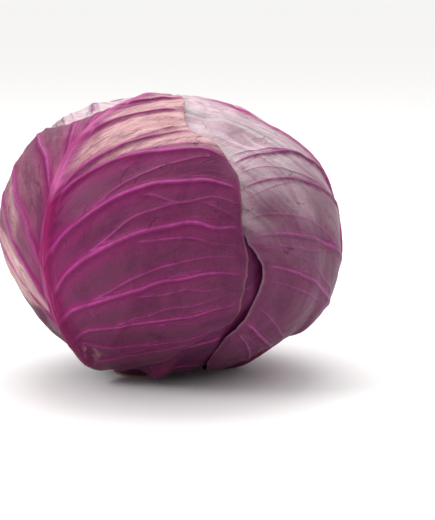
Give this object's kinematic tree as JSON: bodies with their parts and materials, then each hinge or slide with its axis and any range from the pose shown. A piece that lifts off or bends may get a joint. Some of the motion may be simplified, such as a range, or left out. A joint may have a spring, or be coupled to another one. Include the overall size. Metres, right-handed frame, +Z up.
{
  "type": "cabbage head",
  "caption": "Whole red cabbage head: overlapping ribbed wrapper leaves round a packed heart, on a stalk cut flat at its foot.",
  "frame": {"origin": "centre of the stalk's flat cut face, which the head stands on", "axes": "+Z up, away from the cut face; the head leans 11.5 degrees to +X because its stalk is cut slightly askew; -Y is the front, and the outermost leaf faces between -X and -Y"},
  "size_m": [0.1699, 0.1669, 0.1426],
  "materials": {
    "leaf_skin": "waxy red cabbage leaf skin, purple with magenta ribs",
    "heart_leaves": "smooth packed inner leaves, deep purple",
    "stalk": "pale fibrous stalk, cut flat"
  },
  "bodies": {
    "root": {"stalk": "stalk", "heart": "heart_leaves", "wrapper_leaf_1": "leaf_skin", "wrapper_leaf_2": "leaf_skin", "wrapper_leaf_3": "leaf_skin", "wrapper_leaf_4": "leaf_skin", "wrapper_leaf_5": "leaf_skin", "wrapper_leaf_6": "leaf_skin"}
  },
  "joints": []
}
